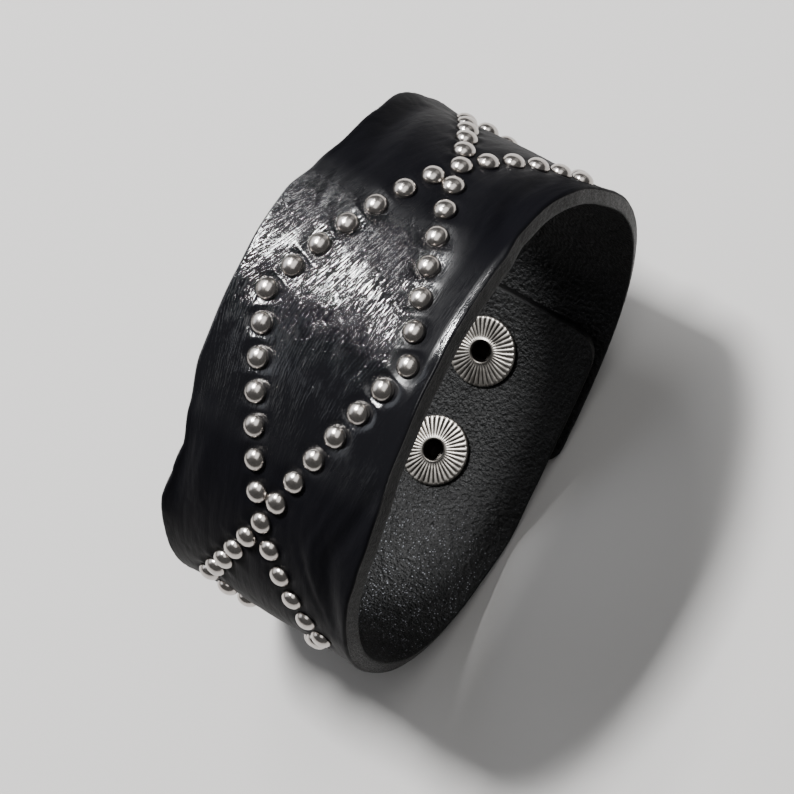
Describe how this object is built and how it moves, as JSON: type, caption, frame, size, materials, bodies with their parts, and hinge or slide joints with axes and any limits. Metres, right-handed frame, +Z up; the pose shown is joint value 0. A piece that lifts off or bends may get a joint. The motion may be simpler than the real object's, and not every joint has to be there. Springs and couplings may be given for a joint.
{
  "type": "studded leather cuff bracelet",
  "caption": "Black leather cuff bracelet, a flat strap bent into an oval loop and closed by a snap, with crossing rows of domed metal studs on its front.",
  "frame": {"origin": "centre of the underside of the bounding box, on the surface that the cuff lies on", "axes": "+Z up, with the studded front on top; +Y along the wrist opening, from the rim nearer the camera in the picture to the far rim; +X along the long axis of the loop, towards the side of the snap that is fastened"},
  "size_m": [0.0722, 0.032, 0.0606],
  "materials": {
    "black_leather": "semi-gloss crinkled black leather outside, matt suede inside",
    "stud_metal": "polished dark nickel plate",
    "snap_metal": "satin nickel plate"
  },
  "bodies": {
    "root": {"leather_band": "black_leather", "snap_cap": "snap_metal", "snap_post_fastened": "snap_metal", "snap_post_spare": "snap_metal", "stud_01": "stud_metal", "stud_02": "stud_metal", "stud_03": "stud_metal", "stud_04": "stud_metal", "stud_05": "stud_metal", "stud_06": "stud_metal", "stud_07": "stud_metal", "stud_08": "stud_metal", "stud_09": "stud_metal", "stud_10": "stud_metal", "stud_11": "stud_metal", "stud_12": "stud_metal", "stud_13": "stud_metal", "stud_14": "stud_metal", "stud_15": "stud_metal", "stud_16": "stud_metal", "stud_17": "stud_metal", "stud_18": "stud_metal", "stud_19": "stud_metal", "stud_20": "stud_metal", "stud_21": "stud_metal", "stud_22": "stud_metal", "stud_23": "stud_metal", "stud_24": "stud_metal", "stud_25": "stud_metal", "stud_26": "stud_metal", "stud_27": "stud_metal", "stud_28": "stud_metal", "stud_29": "stud_metal", "stud_30": "stud_metal", "stud_31": "stud_metal", "stud_32": "stud_metal", "stud_33": "stud_metal", "stud_34": "stud_metal", "stud_35": "stud_metal", "stud_36": "stud_metal", "stud_37": "stud_metal", "stud_38": "stud_metal", "stud_39": "stud_metal", "stud_40": "stud_metal", "stud_41": "stud_metal", "stud_42": "stud_metal", "stud_43": "stud_metal", "stud_44": "stud_metal", "stud_45": "stud_metal", "stud_46": "stud_metal", "stud_47": "stud_metal", "stud_48": "stud_metal", "stud_49": "stud_metal", "stud_50": "stud_metal", "stud_51": "stud_metal", "stud_52": "stud_metal", "stud_53": "stud_metal", "stud_54": "stud_metal", "stud_55": "stud_metal", "stud_56": "stud_metal"}
  },
  "joints": []
}
